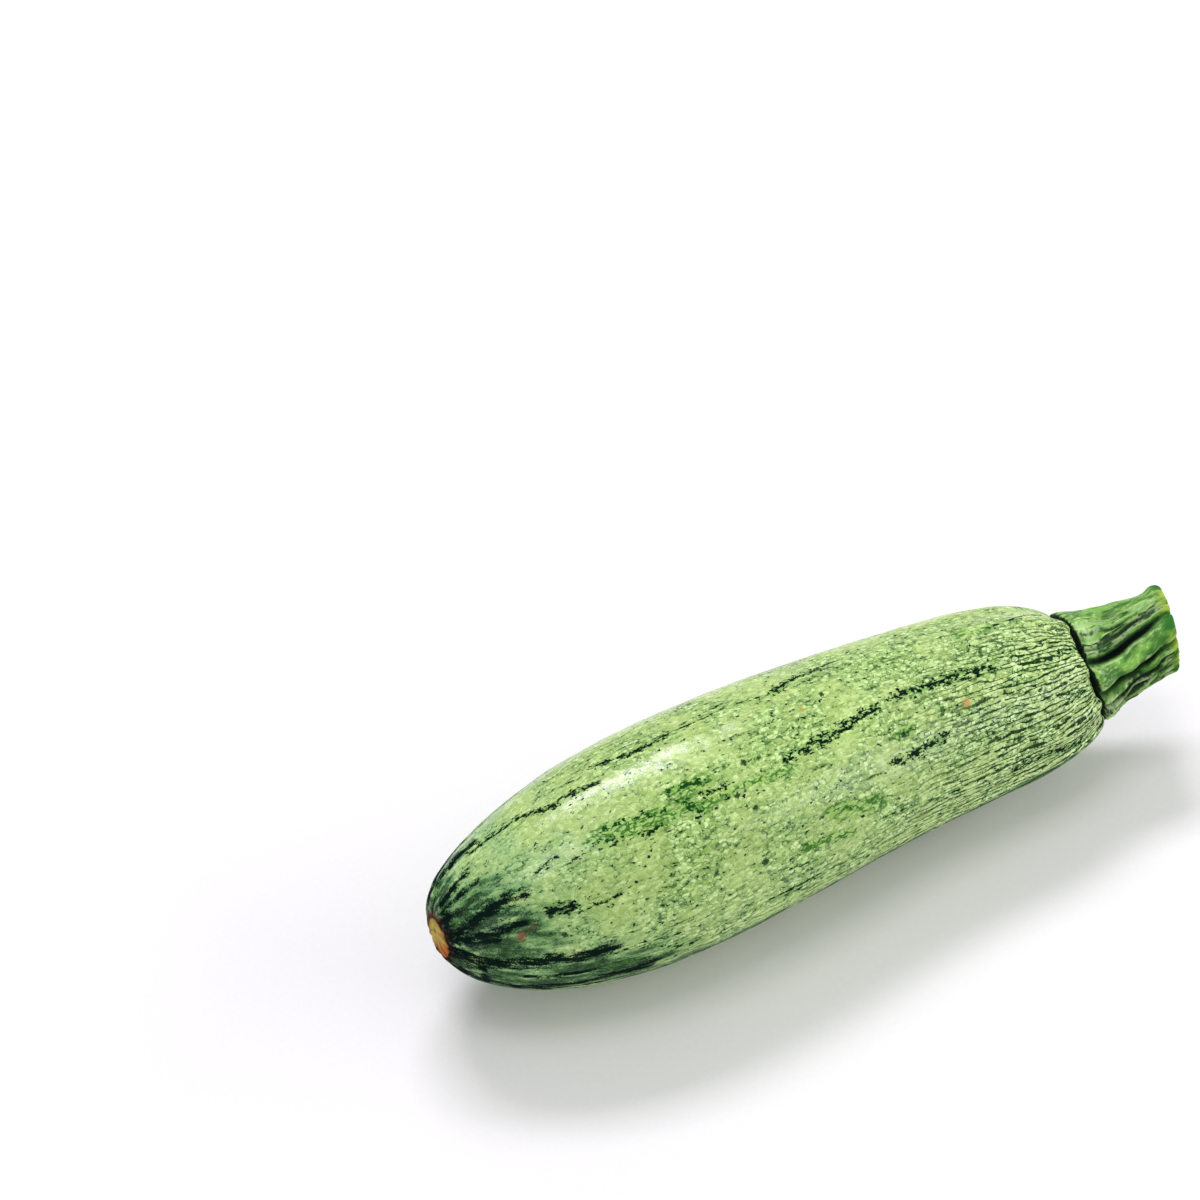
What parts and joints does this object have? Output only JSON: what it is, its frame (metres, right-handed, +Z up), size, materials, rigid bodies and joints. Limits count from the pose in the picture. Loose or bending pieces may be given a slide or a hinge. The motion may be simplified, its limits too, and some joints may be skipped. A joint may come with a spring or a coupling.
{
  "type": "zucchini",
  "caption": "Pale green zucchini lying on its side, whole and uncut, with a furrowed green stem at one end and the dried blossom scar at the other.",
  "frame": {"origin": "under the middle of the whole fruit and stem, on the surface that it lies on", "axes": "+X along the fruit from the blossom scar to the stem, +Z up"},
  "size_m": [0.1904, 0.0522, 0.0512],
  "materials": {
    "skin": "thin waxy skin with a soft gloss",
    "stem": "ridged fibrous green stem"
  },
  "bodies": {
    "root": {"fruit": "skin", "stem": "stem"}
  },
  "joints": []
}
